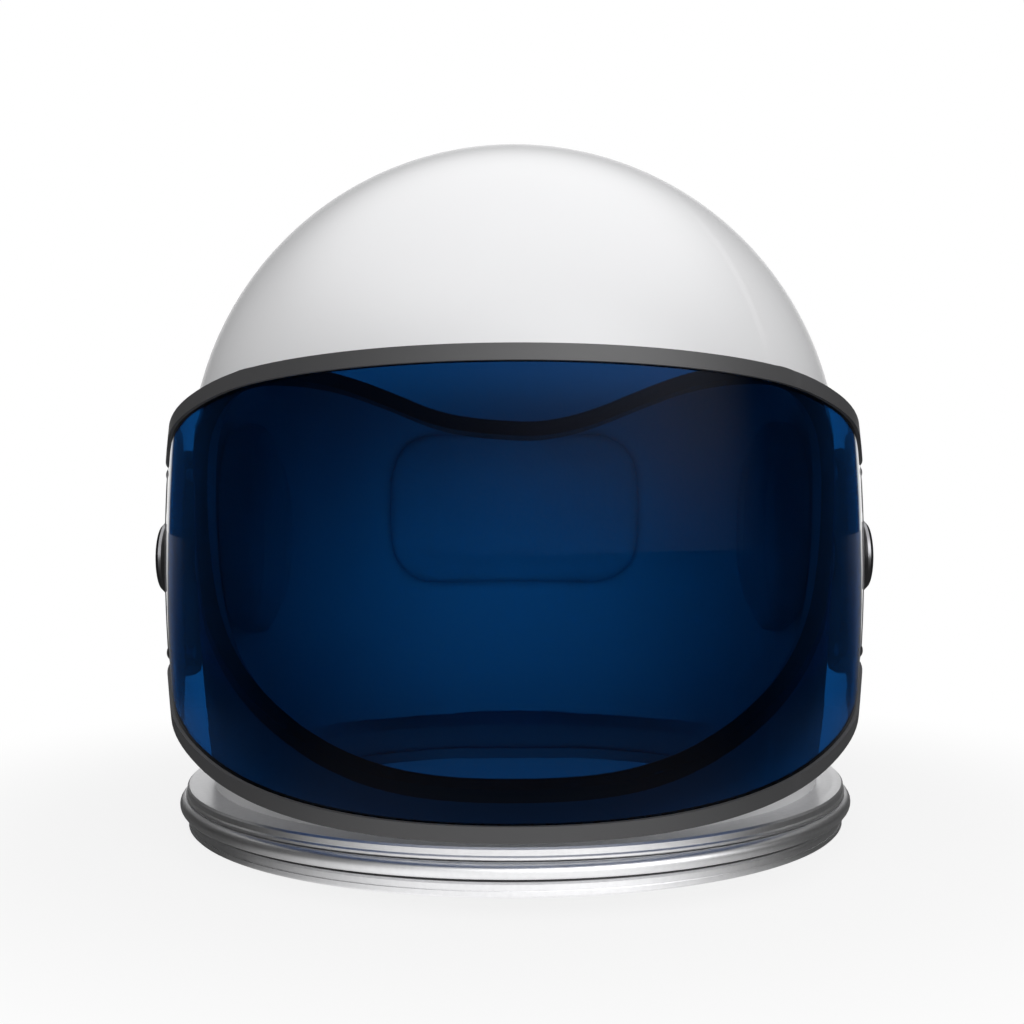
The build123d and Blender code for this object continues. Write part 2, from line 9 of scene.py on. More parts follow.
import bpy
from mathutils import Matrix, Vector

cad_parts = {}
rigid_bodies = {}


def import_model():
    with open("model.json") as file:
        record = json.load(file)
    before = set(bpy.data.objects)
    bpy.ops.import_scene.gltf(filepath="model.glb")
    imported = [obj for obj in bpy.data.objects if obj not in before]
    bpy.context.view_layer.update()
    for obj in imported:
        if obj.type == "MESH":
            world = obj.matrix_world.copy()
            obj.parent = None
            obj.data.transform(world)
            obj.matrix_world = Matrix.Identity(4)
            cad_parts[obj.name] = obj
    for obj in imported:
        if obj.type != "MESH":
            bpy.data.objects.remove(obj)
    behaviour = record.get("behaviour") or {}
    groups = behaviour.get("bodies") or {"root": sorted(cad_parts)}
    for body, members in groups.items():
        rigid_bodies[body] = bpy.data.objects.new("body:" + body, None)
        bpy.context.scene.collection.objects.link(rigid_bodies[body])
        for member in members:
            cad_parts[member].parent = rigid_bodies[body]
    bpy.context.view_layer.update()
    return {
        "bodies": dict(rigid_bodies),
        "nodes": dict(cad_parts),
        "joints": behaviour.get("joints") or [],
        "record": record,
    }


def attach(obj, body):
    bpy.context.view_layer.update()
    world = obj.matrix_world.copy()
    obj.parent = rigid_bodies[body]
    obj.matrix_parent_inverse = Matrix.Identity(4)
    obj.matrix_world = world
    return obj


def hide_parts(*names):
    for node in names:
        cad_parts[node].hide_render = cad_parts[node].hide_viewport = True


LOG = logging.getLogger("helmet")
MM = 0.001
Colour = tuple[float, float, float]
DOME_MIDDLE = (0.0, 0.0, 168.5 * MM)
PIVOT_LINE = (0.0, 20 * MM, 125 * MM)


class Side(Enum):
    """The wearer's two sides."""

    LEFT = "left"
    RIGHT = "right"


class Turning(Enum):
    """The axis that a turned metal piece was turned about."""

    UPRIGHT = "Z"
    ACROSS = "X"


class NodeKit:
    """Short ways to add and join shader nodes in one tree."""

    def __init__(self, tree: bpy.types.NodeTree) -> None:
        """Keep the tree that the nodes go into.

        Args:
            tree: the material's or the group's node tree.
        """
        self.tree = tree

    def add(self, kind: str, **values: object) -> bpy.types.Node:
        """Add a node and set its properties.

        Args:
            kind: Blender's name of the node's type.
            values: properties to set on the node.

        Returns:
            The new node.
        """
        node = self.tree.nodes.new(kind)
        for key, value in values.items():
            setattr(node, key, value)
        return node

    def join(self, start: bpy.types.NodeSocket, end: bpy.types.NodeSocket) -> None:
        """Link two sockets."""
        self.tree.links.new(start, end)

    def maths(self, operation: str, first: object, second: object = None) -> bpy.types.NodeSocket:
        """Add a Math node.

        Args:
            operation: the Math node's operation.
            first: a socket or a number.
            second: a socket or a number, where the operation takes two.

        Returns:
            The node's result.
        """
        node = self.add("ShaderNodeMath", operation=operation)
        for place, value in enumerate((first, second)):
            if isinstance(value, bpy.types.NodeSocket):
                self.join(value, node.inputs[place])
            elif value is not None:
                node.inputs[place].default_value = value
        return node.outputs[0]

    def noise(
        self, place: bpy.types.NodeSocket, scale: float | bpy.types.NodeSocket, detail: float
    ) -> bpy.types.NodeSocket:
        """Add a Noise Texture node.

        Args:
            place: the coordinates that it reads.
            scale: its scale, a number or a socket.
            detail: its detail.

        Returns:
            The noise from 0 to 1.
        """
        node = self.add("ShaderNodeTexNoise")
        node.inputs["Detail"].default_value = detail
        self.join(place, node.inputs["Vector"])
        if isinstance(scale, bpy.types.NodeSocket):
            self.join(scale, node.inputs["Scale"])
        else:
            node.inputs["Scale"].default_value = scale
        return node.outputs[0]

    def span(self, value: bpy.types.NodeSocket, low: float, high: float) -> bpy.types.NodeSocket:
        """Spread a value between 0 and 1 over a new range.

        Args:
            value: the value from 0 to 1.
            low: what 0 becomes.
            high: what 1 becomes.

        Returns:
            The spread value.
        """
        node = self.add("ShaderNodeMapRange")
        self.join(value, node.inputs["Value"])
        node.inputs["To Min"].default_value = low
        node.inputs["To Max"].default_value = high
        return node.outputs["Result"]

    def blend(self, share: bpy.types.NodeSocket, low: Colour, high: Colour) -> bpy.types.NodeSocket:
        """Mix two colours by a share.

        Args:
            share: 0 gives the first colour and 1 the second.
            low: the first colour.
            high: the second colour.

        Returns:
            The mixed colour.
        """
        node = self.add("ShaderNodeMix", data_type="RGBA")
        self.join(share, node.inputs["Factor"])
        node.inputs["A"].default_value = (*low, 1.0)
        node.inputs["B"].default_value = (*high, 1.0)
        return node.outputs["Result"]

    def choose(self, share: bpy.types.NodeSocket, low: object, high: object) -> bpy.types.NodeSocket:
        """Mix two values by a share.

        Args:
            share: 0 gives the first value and 1 the second.
            low: the first value, a socket or a number.
            high: the second value, a socket or a number.

        Returns:
            The mixed value.
        """
        node = self.add("ShaderNodeMix", data_type="FLOAT")
        self.join(share, node.inputs["Factor"])
        for label, value in (("A", low), ("B", high)):
            if isinstance(value, bpy.types.NodeSocket):
                self.join(value, node.inputs[label])
            else:
                node.inputs[label].default_value = value
        return node.outputs["Result"]


def new_group(
    name: str, inputs: dict[str, float], outputs: tuple[str, ...]
) -> tuple[NodeKit, bpy.types.Node, bpy.types.Node]:
    """Start a shader node group whose inputs are a vector and named numbers.

    Args:
        name: the group's name.
        inputs: names and first values of its number inputs.
        outputs: names of its number outputs.

    Returns:
        The group's kit, its input node and its output node.
    """
    tree = bpy.data.node_groups.new(name, "ShaderNodeTree")
    tree.interface.new_socket(name="Vector", in_out="INPUT", socket_type="NodeSocketVector")
    for label, value in inputs.items():
        socket = tree.interface.new_socket(name=label, in_out="INPUT", socket_type="NodeSocketFloat")
        socket.default_value = value
    for label in outputs:
        tree.interface.new_socket(name=label, in_out="OUTPUT", socket_type="NodeSocketFloat")
    kit = NodeKit(tree)
    return kit, kit.add("NodeGroupInput"), kit.add("NodeGroupOutput")


class Effects:
    """Node groups that several finishes share."""

    grain_detail = 3.0
    ring_detail = 4.0
    cloud_scale = 420.0
    cloud_detail = 5.0
    yarn_scale = 260.0
    yarn_detail = 4.0
    least_radius = 1e-6

    def __init__(self) -> None:
        """Build the groups."""
        self.grain = self.build_grain()
        self.turned = self.build_turned()
        self.weave = self.build_weave()

    def build_grain(self) -> bpy.types.NodeTree:
        """Moulded surface: a fine grain and a broad unevenness.

        Returns:
            The node group.
        """
        kit, start, end = new_group("moulded_grain", {"Fine": 900.0, "Broad": 18.0}, ("Fine", "Broad"))
        for label in ("Fine", "Broad"):
            noise = kit.noise(start.outputs["Vector"], start.outputs[label], self.grain_detail)
            kit.join(noise, end.inputs[label])
        return kit.tree

    def build_turned(self) -> bpy.types.NodeTree:
        """Turned metal: fine rings round the Z axis of the vector, broken along their length.

        Returns:
            The node group.
        """
        kit, start, end = new_group("turned_rings", {"Rings": 2500.0, "Breaks": 3.0}, ("Rings", "Cloud"))
        parts = kit.add("ShaderNodeSeparateXYZ")
        kit.join(start.outputs["Vector"], parts.inputs[0])
        across, along, up = parts.outputs
        squares = kit.maths("ADD", kit.maths("MULTIPLY", across, across), kit.maths("MULTIPLY", along, along))
        radius = kit.maths("SQRT", squares)
        turn = kit.maths("DIVIDE", across, kit.maths("ADD", radius, self.least_radius))
        place = kit.add("ShaderNodeCombineXYZ")
        kit.join(kit.maths("MULTIPLY", radius, start.outputs["Rings"]), place.inputs[0])
        kit.join(kit.maths("MULTIPLY", up, start.outputs["Rings"]), place.inputs[1])
        kit.join(kit.maths("MULTIPLY", turn, start.outputs["Breaks"]), place.inputs[2])
        kit.join(kit.noise(place.outputs[0], 1.0, self.ring_detail), end.inputs["Rings"])
        cloud = kit.noise(start.outputs["Vector"], self.cloud_scale, self.cloud_detail)
        kit.join(cloud, end.inputs["Cloud"])
        return kit.tree

    def build_weave(self) -> bpy.types.NodeTree:
        """Woven cloth: two crossed sets of threads with uneven yarn.

        Returns:
            The node group.
        """
        kit, start, end = new_group("weave", {"Threads": 5200.0}, ("Height", "Yarn"))
        parts = kit.add("ShaderNodeSeparateXYZ")
        kit.join(start.outputs["Vector"], parts.inputs[0])
        across, along, up = parts.outputs
        threads = start.outputs["Threads"]
        warp = kit.maths("SINE", kit.maths("MULTIPLY", kit.maths("ADD", across, up), threads))
        weft = kit.maths("SINE", kit.maths("MULTIPLY", kit.maths("SUBTRACT", along, up), threads))
        kit.join(kit.maths("MULTIPLY", warp, weft), end.inputs["Height"])
        yarn = kit.noise(start.outputs["Vector"], self.yarn_scale, self.yarn_detail)
        kit.join(yarn, end.inputs["Yarn"])
        return kit.tree


def start_material(name: str) -> tuple[NodeKit, bpy.types.Node, bpy.types.NodeSocket]:
    """Start a material with one Principled shader.

    Args:
        name: the material's name.

    Returns:
        The material's kit, its shader and the object's own coordinates.
    """
    material = bpy.data.materials.new(name)
    material.use_nodes = True
    kit = NodeKit(material.node_tree)
    shader = material.node_tree.nodes["Principled BSDF"]
    place = kit.add("ShaderNodeTexCoord")
    return kit, shader, place.outputs["Object"]


def use_group(
    kit: NodeKit, tree: bpy.types.NodeTree, place: bpy.types.NodeSocket, **values: float
) -> bpy.types.Node:
    """Place a shared group in a material.

    Args:
        kit: the material's kit.
        tree: the group.
        place: the coordinates that it reads.
        values: numbers for its inputs.

    Returns:
        The group's node.
    """
    node = kit.add("ShaderNodeGroup", node_tree=tree)
    kit.join(place, node.inputs["Vector"])
    for label, value in values.items():
        node.inputs[label].default_value = value
    return node


def add_bump(
    kit: NodeKit, shader: bpy.types.Node, height: bpy.types.NodeSocket, depth: float, strength: float
) -> None:
    """Give a shader a bump.

    Args:
        kit: the material's kit.
        shader: the shader that gets the bump.
        height: the height from 0 to 1.
        depth: how deep 1 is, in metres.
        strength: how much of it shows.
    """
    bump = kit.add("ShaderNodeBump")
    bump.inputs["Strength"].default_value = strength
    bump.inputs["Distance"].default_value = depth
    kit.join(height, bump.inputs["Height"])
    kit.join(bump.outputs[0], shader.inputs["Normal"])


@dataclass(frozen=True)
class MouldedFinish:
    """Plastic, paint, rubber or foam with a fine grain."""

    name: str
    colour: Colour
    second: Colour
    rough: tuple[float, float]
    fine: float = 900.0
    broad: float = 18.0
    depth: float = 0.00005
    strength: float = 0.3
    shine: float = 0.5
    metallic: float = 0.0

    def make(self, effects: Effects) -> bpy.types.Material:
        """Build the material.

        Args:
            effects: the shared node groups.

        Returns:
            The material.
        """
        kit, shader, place = start_material(self.name)
        grain = use_group(kit, effects.grain, place, Fine=self.fine, Broad=self.broad)
        kit.join(kit.blend(grain.outputs["Broad"], self.colour, self.second), shader.inputs["Base Color"])
        kit.join(kit.span(grain.outputs["Broad"], *self.rough), shader.inputs["Roughness"])
        shader.inputs["Metallic"].default_value = self.metallic
        shader.inputs["Specular IOR Level"].default_value = self.shine
        add_bump(kit, shader, grain.outputs["Fine"], self.depth, self.strength)
        return bpy.data.materials[self.name]


@dataclass(frozen=True)
class TurnedFinish:
    """Bright metal with rings from the lathe."""

    name: str
    colour: Colour
    second: Colour
    rough: tuple[float, float]
    turning: Turning = Turning.UPRIGHT
    centre: tuple[float, float, float] = (0.0, 0.0, 0.0)
    rings: float = 2500.0
    depth: float = 0.00004
    strength: float = 0.35

    def make(self, effects: Effects) -> bpy.types.Material:
        """Build the material.

        Args:
            effects: the shared node groups.

        Returns:
            The material.
        """
        kit, shader, place = start_material(self.name)
        mapping = kit.add("ShaderNodeMapping", vector_type="POINT")
        mapping.inputs["Location"].default_value = tuple(-c for c in self.centre)
        kit.join(place, mapping.inputs["Vector"])
        turned_place = mapping.outputs[0]
        if self.turning is Turning.ACROSS:
            turn = kit.add("ShaderNodeMapping", vector_type="POINT")
            turn.inputs["Rotation"].default_value = (0.0, math.radians(90), 0.0)
            kit.join(turned_place, turn.inputs["Vector"])
            turned_place = turn.outputs[0]
        group = use_group(kit, effects.turned, turned_place, Rings=self.rings)
        kit.join(kit.blend(group.outputs["Cloud"], self.colour, self.second), shader.inputs["Base Color"])
        kit.join(kit.span(group.outputs["Rings"], *self.rough), shader.inputs["Roughness"])
        shader.inputs["Metallic"].default_value = 1.0
        add_bump(kit, shader, group.outputs["Rings"], self.depth, self.strength)
        return bpy.data.materials[self.name]


@dataclass(frozen=True)
class ClothFinish:
    """Woven cover of a cushion."""

    name: str
    colour: Colour
    second: Colour
    rough: float = 0.85
    threads: float = 5200.0
    sheen: float = 0.25
    depth: float = 0.0003
    strength: float = 0.5

    def make(self, effects: Effects) -> bpy.types.Material:
        """Build the material.

        Args:
            effects: the shared node groups.

        Returns:
            The material.
        """
        kit, shader, place = start_material(self.name)
        weave = use_group(kit, effects.weave, place, Threads=self.threads)
        kit.join(kit.blend(weave.outputs["Yarn"], self.colour, self.second), shader.inputs["Base Color"])
        shader.inputs["Roughness"].default_value = self.rough
        shader.inputs["Sheen Weight"].default_value = self.sheen
        add_bump(kit, shader, kit.span(weave.outputs["Height"], 0.0, 1.0), self.depth, self.strength)
        return bpy.data.materials[self.name]


@dataclass(frozen=True)
class TintFinish:
    """Deep blue see-through lens whose coating takes the reflections off its face but not its limb."""

    name: str
    colour: Colour
    coating: Colour = (0.05, 0.05, 0.06)
    rough: float = 0.0
    index: float = 1.5
    unevenness: float = 0.04
    fine: float = 60.0
    broad: float = 6.0

    def make(self, effects: Effects) -> bpy.types.Material:
        """Build the material.

        Args:
            effects: the shared node groups.

        Returns:
            The material.
        """
        kit, shader, place = start_material(self.name)
        grain = use_group(kit, effects.grain, place, Fine=self.fine, Broad=self.broad)
        shade = tuple(c * (1.0 - self.unevenness) for c in self.colour)
        kit.join(kit.blend(grain.outputs["Broad"], self.colour, shade), shader.inputs["Base Color"])
        shader.inputs["Roughness"].default_value = self.rough
        shader.inputs["Transmission Weight"].default_value = 1.0
        shader.inputs["IOR"].default_value = self.index
        shader.inputs["Specular Tint"].default_value = (*self.coating, 1.0)
        return bpy.data.materials[self.name]


class Finishes:
    """Every finish of the helmet, by what it is on."""

    def __init__(self, effects: Effects) -> None:
        """Build the materials.

        Args:
            effects: the shared node groups.
        """
        wanted = {
            "shell": MouldedFinish(
                "white_shell", (0.86, 0.86, 0.865), (0.88, 0.88, 0.885), (0.34, 0.42),
                fine=700.0, broad=9.0, depth=0.00003, strength=0.12, shine=0.3),
            "liner": MouldedFinish(
                "pale_foam_liner", (0.70, 0.71, 0.73), (0.78, 0.78, 0.79), (0.55, 0.7),
                fine=500.0, broad=14.0, depth=0.0002, strength=0.3),
            "gasket": MouldedFinish(
                "black_gasket_rubber", (0.012, 0.012, 0.014), (0.02, 0.02, 0.022), (0.32, 0.45)),
            "trim": MouldedFinish(
                "grey_trim_rubber", (0.06, 0.06, 0.062), (0.078, 0.078, 0.081), (0.36, 0.48),
                fine=1500.0, depth=0.00004, strength=0.35),
            "hinge": MouldedFinish(
                "dark_hinge_metal", (0.10, 0.10, 0.105), (0.14, 0.14, 0.145), (0.28, 0.4),
                fine=1800.0, depth=0.00003, strength=0.3, metallic=0.9),
            "backing": MouldedFinish(
                "black_backing_paint", (0.014, 0.014, 0.016), (0.022, 0.022, 0.024), (0.4, 0.5), fine=1600.0),
            "knob": TurnedFinish(
                "turned_knob_metal", (0.22, 0.22, 0.23), (0.28, 0.28, 0.29), (0.24, 0.36),
                turning=Turning.ACROSS, centre=PIVOT_LINE, rings=1800.0),
            "steel": TurnedFinish(
                "turned_steel", (0.56, 0.57, 0.58), (0.64, 0.64, 0.65), (0.26, 0.4),
                turning=Turning.ACROSS, centre=PIVOT_LINE, rings=1800.0),
            "ring": TurnedFinish(
                "turned_aluminium", (0.72, 0.72, 0.73), (0.84, 0.84, 0.85), (0.30, 0.46), rings=1100.0),
            "seal": MouldedFinish(
                "black_seal_rubber", (0.01, 0.01, 0.011), (0.018, 0.018, 0.02), (0.4, 0.55)),
            "bush": MouldedFinish(
                "bearing_plastic", (0.05, 0.05, 0.055), (0.07, 0.07, 0.075), (0.35, 0.5)),
            "boss": MouldedFinish(
                "white_boss_plastic", (0.78, 0.78, 0.79), (0.84, 0.84, 0.85), (0.3, 0.42)),
            "fibre": MouldedFinish(
                "dark_fibre_washer", (0.035, 0.03, 0.028), (0.06, 0.05, 0.045), (0.6, 0.8), fine=2200.0),
            "cloth": ClothFinish("pale_grey_cover", (0.66, 0.67, 0.69), (0.74, 0.75, 0.77)),
            "lens": TintFinish("blue_tinted_lens", (0.0015, 0.044, 0.165)),
        }
        self.made = {key: finish.make(effects) for key, finish in wanted.items()}

    def dress(self, piece: bpy.types.Object, key: str) -> None:
        """Put a finish on a piece.

        Args:
            piece: the piece.
            key: what the finish is on.
        """
        piece.data.materials.clear()
        piece.data.materials.append(self.made[key])


def both(name: str) -> list[str]:
    """Names of a piece's left and right copies."""
    return [f"{name}_{side.value}" for side in Side]


@dataclass
class HardParts:
    """Everything rigid, whose shape comes from the frame."""

    frame: dict
    finishes: Finishes

    def dress(self) -> None:
        """Give each rigid piece its finish."""
        wanted = {
            "shell": ["shell"],
            "liner": ["inner_liner"],
            "gasket": ["face_gasket"],
            "lens": ["visor_lens"],
            "trim": ["upper_trim", "lower_trim"],
            "hinge": both("hinge_plate"),
            "backing": both("backing_plate"),
            "steel": both("hinge_rivets") + both("anchor_washer") + both("pivot_shaft") + ["ring_screws"],
            "bush": both("pivot_bush"),
            "boss": both("pivot_boss"),
            "fibre": both("friction_washer"),
            "knob": both("pivot_knob"),
            "ring": ["neck_flange", "locking_collar", "base_ring"],
            "seal": ["ring_seal"],
        }
        for key, names in wanted.items():
            for name in names:
                self.finishes.dress(self.frame["nodes"][name], key)
                LOG.info("dressed %s as %s", name, key)


def select_only(piece: bpy.types.Object) -> None:
    """Deselect everything, then select a piece and make it active."""
    bpy.ops.object.select_all(action="DESELECT")
    piece.select_set(True)
    bpy.context.view_layer.objects.active = piece


@dataclass
class Cushion:
    """One pad of the padding, swollen from its plain solid."""

    node: str
    frame: dict
    finishes: Finishes
    across: tuple[float, float, float] = (1.0, 0.0, 0.0)
    voxel: float = 5 * MM
    shrink: float = 2.0 * MM
    cap: float = 5 * MM
    channels: tuple[float, ...] = ()
    channel_depth: float = 1.6 * MM
    channel_half: float = 2.6 * MM
    channel_tilt: float = 0.3
    merging: float = 0.01 * MM
    softening: int = 6
    pressure: float = 4.0
    last_frame: int = 20
    fill: float = 0.7

    def build(self) -> bpy.types.Object:
        """Make the pad from a merged copy of its solid.

        Returns:
            The finished pad.
        """
        source = self.frame["nodes"][self.node]
        piece = bpy.data.objects.new(self.node + "_cover", source.data.copy())
        bpy.context.scene.collection.objects.link(piece)
        select_only(piece)
        bpy.ops.object.mode_set(mode="EDIT")
        bpy.ops.mesh.select_all(action="SELECT")
        bpy.ops.mesh.remove_doubles(threshold=self.merging)
        bpy.ops.mesh.normals_make_consistent(inside=False)
        bpy.ops.object.mode_set(mode="OBJECT")
        remesh = piece.modifiers.new("even", "REMESH")
        remesh.mode = "VOXEL"
        remesh.voxel_size = self.voxel
        bpy.ops.object.modifier_apply(modifier=remesh.name)
        smooth = piece.modifiers.new("soften", "SMOOTH")
        smooth.iterations = self.softening
        bpy.ops.object.modifier_apply(modifier=smooth.name)
        self.swell(piece)
        finer = piece.modifiers.new("finer", "SUBSURF")
        finer.levels = finer.render_levels = 1
        bpy.ops.object.modifier_apply(modifier=finer.name)
        self.sew_channels(piece)
        bpy.ops.object.shade_smooth()
        return piece

    def facing(self, piece: bpy.types.Object) -> tuple[Vector, Vector, Vector]:
        """Find a pad's middle and the ways that it faces.

        Args:
            piece: the pad.

        Returns:
            The middle, the way out from the dome's middle, and the way across the channels.
        """
        points = [v.co for v in piece.data.vertices]
        middle = sum(points, Vector()) / len(points)
        out = (middle - Vector(DOME_MIDDLE)).normalized()
        across = Vector(self.across)
        return middle, out, (across - across.dot(out) * out).normalized()

    def sew_channels(self, piece: bpy.types.Object) -> None:
        """Draw the pad's inner face in along its sewn lines.

        Args:
            piece: the pad, whose mesh is changed.
        """
        middle, out, across = self.facing(piece)
        for vertex in piece.data.vertices:
            reach = (vertex.co - middle).dot(across)
            for line in self.channels:
                if vertex.normal.dot(out) < -self.channel_tilt:
                    share = math.exp(-(((reach - line) / self.channel_half) ** 2))
                    vertex.co += out * self.channel_depth * share

    def swell(self, piece: bpy.types.Object) -> None:
        """Puff the pad up a little, as filled cloth does.

        Args:
            piece: the pad, whose mesh is changed.
        """
        select_only(piece)
        bpy.ops.object.mode_set(mode="EDIT")
        bpy.ops.mesh.select_all(action="SELECT")
        bpy.ops.transform.shrink_fatten(value=-self.shrink)
        bpy.ops.object.mode_set(mode="OBJECT")
        start = [v.co.copy() for v in piece.data.vertices]
        cloth = piece.modifiers.new("fill", "CLOTH")
        cloth.settings.use_pressure = True
        cloth.settings.uniform_pressure_force = self.pressure
        cloth.settings.effector_weights.gravity = 0.0
        for frame in range(1, self.last_frame + 1):
            bpy.context.scene.frame_set(frame)
        shape = piece.evaluated_get(bpy.context.evaluated_depsgraph_get()).data
        end = [v.co.copy() for v in shape.vertices]
        piece.modifiers.remove(cloth)
        _, out, _ = self.facing(piece)
        for vertex, before, after in zip(piece.data.vertices, start, end):
            move = after - before
            limit = self.shrink if move.dot(out) > 0.0 else self.cap
            if move.length > limit:
                move *= limit / move.length
            vertex.co = before + move
        bpy.context.scene.frame_set(1)

    def dress(self, piece: bpy.types.Object) -> None:
        """Give the pad its cover and hang it in the helmet.

        Args:
            piece: the pad.
        """
        self.finishes.dress(piece, "cloth")
        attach(piece, "helmet")
        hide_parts(self.node)
        LOG.info("made %s with %d faces", piece.name, len(piece.data.polygons))


@dataclass(frozen=True)
class Step:
    """A soft step in a value's span."""

    start: float
    end: float
    low: float
    high: float

    def of(self, kit: NodeKit, value: bpy.types.NodeSocket) -> bpy.types.NodeSocket:
        """Turn a value into the step.

        Args:
            value: the value.

        Returns:
            The low result before the span, the high one after it, and a soft change within it.
        """
        node = kit.add("ShaderNodeMapRange", interpolation_type="SMOOTHSTEP")
        kit.join(value, node.inputs["Value"])
        ends = (("From Min", self.start), ("From Max", self.end), ("To Min", self.low), ("To Max", self.high))
        for label, number in ends:
            node.inputs[label].default_value = number
        return node.outputs["Result"]


@dataclass(frozen=True)
class Lamp:
    """A soft lamp that mirrors and lenses don't show."""

    name: str
    place: tuple[float, float, float]
    target: tuple[float, float, float]
    size: tuple[float, float]
    power: float
    shape: str = "RECTANGLE"
    spread: float = math.pi

    def hang(self) -> None:
        """Put the lamp in the scene."""
        data = bpy.data.lights.new(self.name, "AREA")
        data.shape = self.shape
        data.size, data.size_y = self.size
        data.energy = self.power
        data.spread = self.spread
        lamp = bpy.data.objects.new(self.name, data)
        lamp.location = self.place
        away = Vector(self.place) - Vector(self.target)
        lamp.rotation_euler = away.to_track_quat("Z", "Y").to_euler()
        lamp.visible_camera = False
        lamp.visible_glossy = False
        lamp.visible_transmission = False
        bpy.context.scene.collection.objects.link(lamp)


class Rays:
    """What kind of ray reads a floor or a world."""

    past_lens = Step(0.4, 0.6, 1.0, 0.25)

    def __init__(self, kit: NodeKit) -> None:
        """Add the nodes that tell the rays apart.
        """
        path = kit.add("ShaderNodeLightPath").outputs
        self.camera = path["Is Camera Ray"]
        self.glossy = path["Is Glossy Ray"]
        self.bent = path["Is Transmission Ray"]
        self.scattered = kit.maths("GREATER_THAN", path["Diffuse Depth"], 0.5)
        self.direct = kit.maths("SUBTRACT", 1.0, self.scattered)
        self.mirror_share = self.past_lens.of(kit, path["Transmission Depth"])


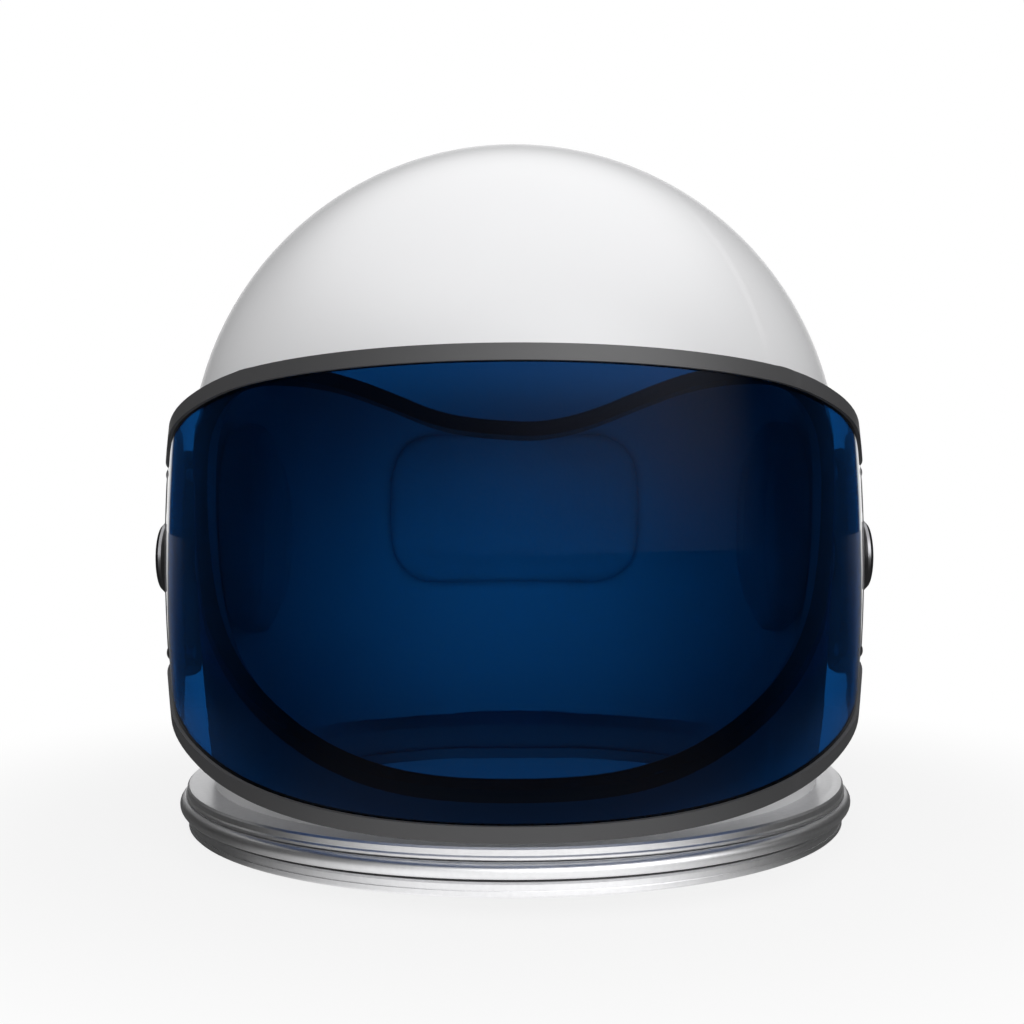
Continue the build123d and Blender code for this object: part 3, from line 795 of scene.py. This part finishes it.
@dataclass(frozen=True)
class Studio:
    """Pale floor, soft lamps, and a room that is white behind the helmet and dark at its sides."""

    floor_half: float = 12.0
    floor_drop: float = 0.2 * MM
    floor_rough: float = 0.9
    floor_colour: Colour = (0.93, 0.93, 0.93)
    floor_bounce: Colour = (0.20, 0.20, 0.20)
    floor_away: Step = Step(0.20, 0.42, 0.82, 1.0)
    floor_bore: Step = Step(0.135, 0.155, 0.3, 1.0)
    floor_sides: Step = Step(0.20, 0.85, 1.15, 0.04)
    floor_near: Step = Step(0.34, 0.50, 1.0, 0.25)
    floor_behind: Step = Step(0.86, 0.94, 0.0, 1.0)
    backdrop: Step = Step(0.87, 0.92, 0.008, 1.0)
    front: Step = Step(0.1, 0.95, 0.0, 0.7)
    front_across: Step = Step(-0.9, 0.9, 0.15, 2.8)
    front_up: Step = Step(-0.05, 0.25, 0.7, 2.6)
    over: Step = Step(0.50, 0.85, 0.0, 1.5)
    soft_up: Step = Step(-0.2, 0.9, 0.40, 0.52)
    soft_front: Step = Step(0.0, 1.0, 0.0, 0.74)
    soft_across: Step = Step(-1.0, 1.0, -0.34, 0.05)
    soft_inside: Step = Step(0.0, 1.0, 1.0, 0.12)
    soft_least: float = 0.05
    lamps: tuple[Lamp, ...] = (
        Lamp("lamp_top", (-0.5, -1.0, 1.35), (0.0, 0.0, 0.15), (1.1, 1.1), 4.2),
        Lamp("lamp_front", (0.9, -1.9, 1.1), (0.0, 0.0, 0.15), (1.2, 1.2), 6.5),
        Lamp(
            "lamp_inner", (0.0, -0.085, 0.125), (0.0, 0.15, 0.10), (0.21, 0.14), 0.085,
            shape="ELLIPSE", spread=math.radians(70)),
    )

    def build(self) -> None:
        """Lay the floor, hang the lamps and set the world."""
        self.lay_floor()
        for lamp in self.lamps:
            lamp.hang()
        self.set_world()
        bpy.context.scene.view_settings.view_transform = "Standard"

    def lay_floor(self) -> None:
        """Lay a wide floor that fades to plain white away from the helmet."""
        bpy.ops.object.select_all(action="DESELECT")
        bpy.ops.mesh.primitive_plane_add(size=2 * self.floor_half, location=(0, 0, -self.floor_drop))
        floor = bpy.context.object
        floor.name = "studio_floor"
        kit, shader, place = start_material("floor_white")
        shader.inputs["Roughness"].default_value = self.floor_rough
        shader.inputs["Specular IOR Level"].default_value = 0.0
        rays = Rays(kit)
        kit.join(kit.blend(rays.scattered, self.floor_colour, self.floor_bounce), shader.inputs["Base Color"])
        reach_node = kit.add("ShaderNodeVectorMath", operation="LENGTH")
        kit.join(place, reach_node.inputs[0])
        reach = reach_node.outputs["Value"]
        parts = kit.add("ShaderNodeSeparateXYZ")
        kit.join(place, parts.inputs[0])
        across, along = parts.outputs[:2]
        white = kit.maths("MULTIPLY", self.floor_away.of(kit, reach), self.floor_bore.of(kit, reach))
        turned = kit.maths("ABSOLUTE", kit.maths("DIVIDE", across, reach))
        ahead = kit.maths("MULTIPLY", self.floor_sides.of(kit, turned), self.floor_near.of(kit, reach))
        behind = self.floor_behind.of(kit, kit.maths("DIVIDE", along, reach))
        mirrored = kit.maths("MULTIPLY", kit.maths("MAXIMUM", ahead, behind), rays.mirror_share)
        straight = kit.maths("SUBTRACT", 1.0, rays.bent)
        reflected = kit.maths("MULTIPLY", kit.maths("MULTIPLY", rays.glossy, straight), rays.direct)
        glow = kit.add("ShaderNodeEmission")
        kit.join(kit.choose(reflected, 1.0, mirrored), glow.inputs["Strength"])
        shown = kit.maths("MAXIMUM", kit.maths("MULTIPLY", white, rays.direct), reflected)
        mix = kit.add("ShaderNodeMixShader")
        kit.join(shown, mix.inputs["Fac"])
        kit.join(shader.outputs[0], mix.inputs[1])
        kit.join(glow.outputs[0], mix.inputs[2])
        material = bpy.data.materials["floor_white"]
        kit.join(mix.outputs[0], material.node_tree.nodes["Material Output"].inputs["Surface"])
        floor.data.materials.append(material)

    def set_world(self) -> None:
        """White backdrop behind the helmet, soft light from above and in front, and dark sides."""
        world = bpy.data.worlds.new("studio")
        bpy.context.scene.world = world
        world.use_nodes = True
        kit = NodeKit(world.node_tree)
        place = kit.add("ShaderNodeTexCoord")
        parts = kit.add("ShaderNodeSeparateXYZ")
        kit.join(place.outputs["Generated"], parts.inputs[0])
        across, along, up = parts.outputs
        forward = kit.maths("MULTIPLY", along, -1.0)
        rays = Rays(kit)
        front = kit.maths("MULTIPLY", self.front.of(kit, forward), self.front_across.of(kit, across))
        front = kit.maths("MULTIPLY", front, self.front_up.of(kit, up))
        mirrored = kit.maths("MAXIMUM", self.backdrop.of(kit, along), front)
        mirrored = kit.maths("MAXIMUM", mirrored, self.over.of(kit, up))
        mirrored = kit.maths("MULTIPLY", mirrored, rays.mirror_share)
        soft = kit.maths("ADD", self.soft_up.of(kit, up), self.soft_front.of(kit, forward))
        soft = kit.maths("ADD", soft, self.soft_across.of(kit, across))
        soft = kit.maths("MAXIMUM", soft, self.soft_least)
        soft = kit.maths("MULTIPLY", soft, self.soft_inside.of(kit, rays.bent))
        lit = kit.choose(kit.maths("MULTIPLY", rays.glossy, rays.direct), soft, mirrored)
        white = kit.maths("MAXIMUM", rays.camera, kit.maths("MULTIPLY", rays.bent, rays.direct))
        light = world.node_tree.nodes["Background"]
        light.inputs["Color"].default_value = (1.0, 1.0, 1.0, 1.0)
        kit.join(kit.choose(white, lit, 1.0), light.inputs["Strength"])


@dataclass
class Camera:
    """The photograph's viewpoint."""

    place: tuple[float, float, float] = (0.0, -0.671, 0.1479)
    lens: float = 47.05
    sensor: float = 36.0
    shift_across: float = -0.00225
    roll: float = -0.2

    def build(self) -> None:
        """Make the camera and look through it."""
        data = bpy.data.cameras.new("camera")
        data.lens = self.lens
        data.sensor_width = self.sensor
        data.shift_x = self.shift_across
        camera = bpy.data.objects.new("camera", data)
        camera.location = self.place
        camera.rotation_euler = (math.radians(90), math.radians(-self.roll), 0.0)
        bpy.context.scene.collection.objects.link(camera)
        bpy.context.scene.camera = camera


def make_cushions(frame: dict, finishes: Finishes) -> None:
    """Make every pad of the padding.

    Args:
        frame: the loaded frame.
        finishes: the finishes.
    """
    fore_and_aft = (0.0, 1.0, 0.0)
    sewn = (-18 * MM, 18 * MM)
    pads = [
        Cushion("crown_pad", frame, finishes, channels=sewn),
        Cushion("rear_pad", frame, finishes),
        Cushion("brow_pad", frame, finishes, channels=sewn),
    ]
    pads += [Cushion(node, frame, finishes, fore_and_aft, channels=sewn) for node in both("side_pad")]
    for pad in pads:
        pad.dress(pad.build())


def main() -> None:
    """Build the helmet's looks in order."""
    logging.basicConfig(level=logging.INFO, format="%(name)s: %(message)s")
    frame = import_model()
    finishes = Finishes(Effects())
    HardParts(frame, finishes).dress()
    make_cushions(frame, finishes)
    Studio().build()
    Camera().build()


if __name__ == "__main__":
    main()
